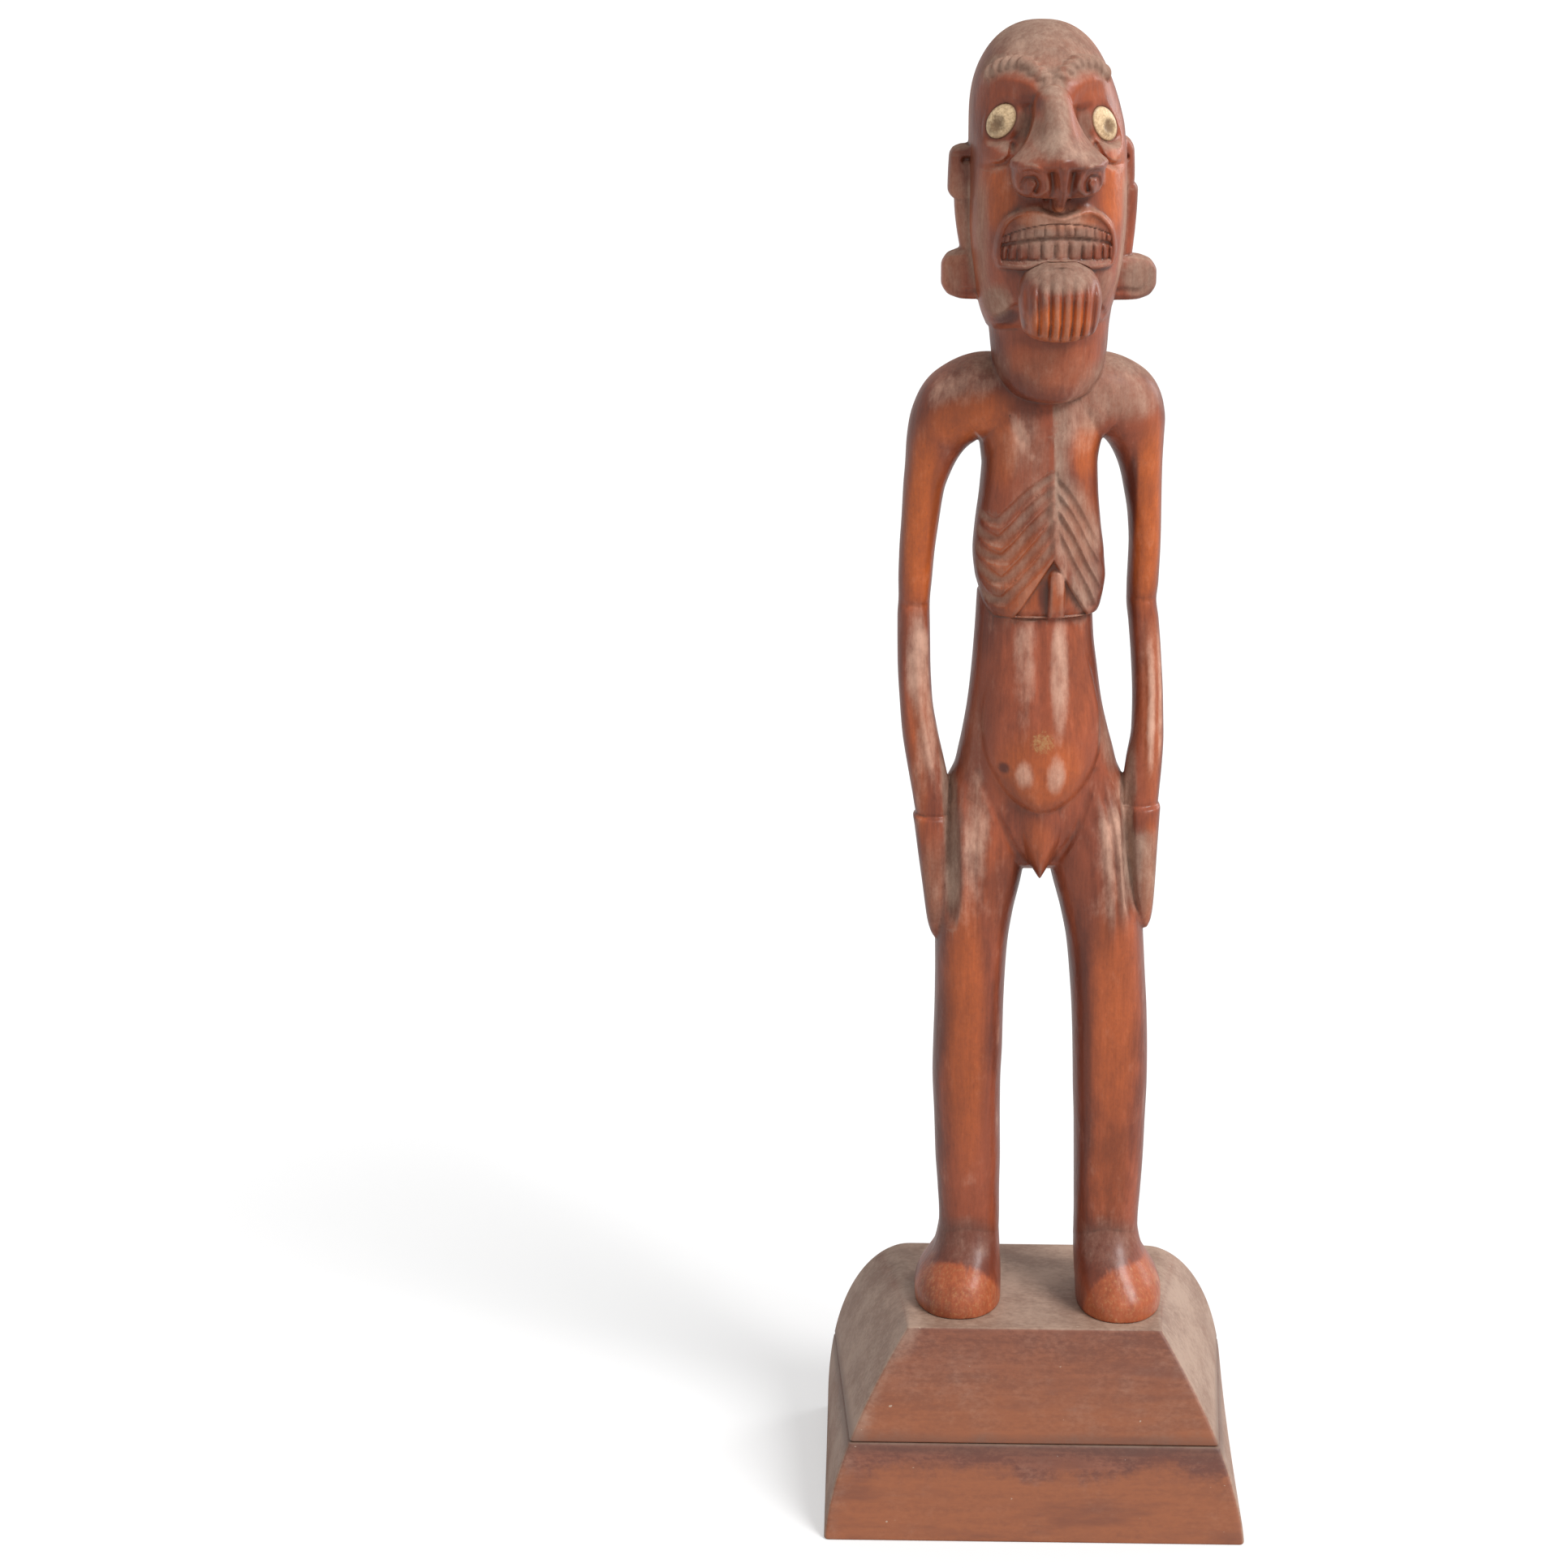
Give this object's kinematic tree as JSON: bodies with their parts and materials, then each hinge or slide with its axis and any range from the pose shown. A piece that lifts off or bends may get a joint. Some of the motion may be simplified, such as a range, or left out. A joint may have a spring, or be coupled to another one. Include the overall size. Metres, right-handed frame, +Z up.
{
  "type": "moai kavakava figure",
  "caption": "Standing carved wooden ancestor figure with bared ribs, long ears, bared teeth and inlaid bone eyes, on a tapered plinth of stacked boards.",
  "frame": {"origin": "floor level, in the middle of the plinth's rectangular footprint", "axes": "+Z up, the figure's front faces -Y, and +X is the figure's own left"},
  "size_m": [0.163, 0.1116, 0.5754],
  "materials": {
    "figure_wood": "polished red-brown wood with dust on its upper faces",
    "eye_bone": "aged cream bone with a worn brown patch",
    "plinth_wood": "satin red-brown wood",
    "plinth_slab_wood": "satin red-brown wood"
  },
  "bodies": {
    "root": {"figure": "figure_wood", "eye_inlay_right": "eye_bone", "eye_inlay_left": "eye_bone", "plinth_block": "plinth_wood", "plinth_slab": "plinth_slab_wood"}
  },
  "joints": []
}
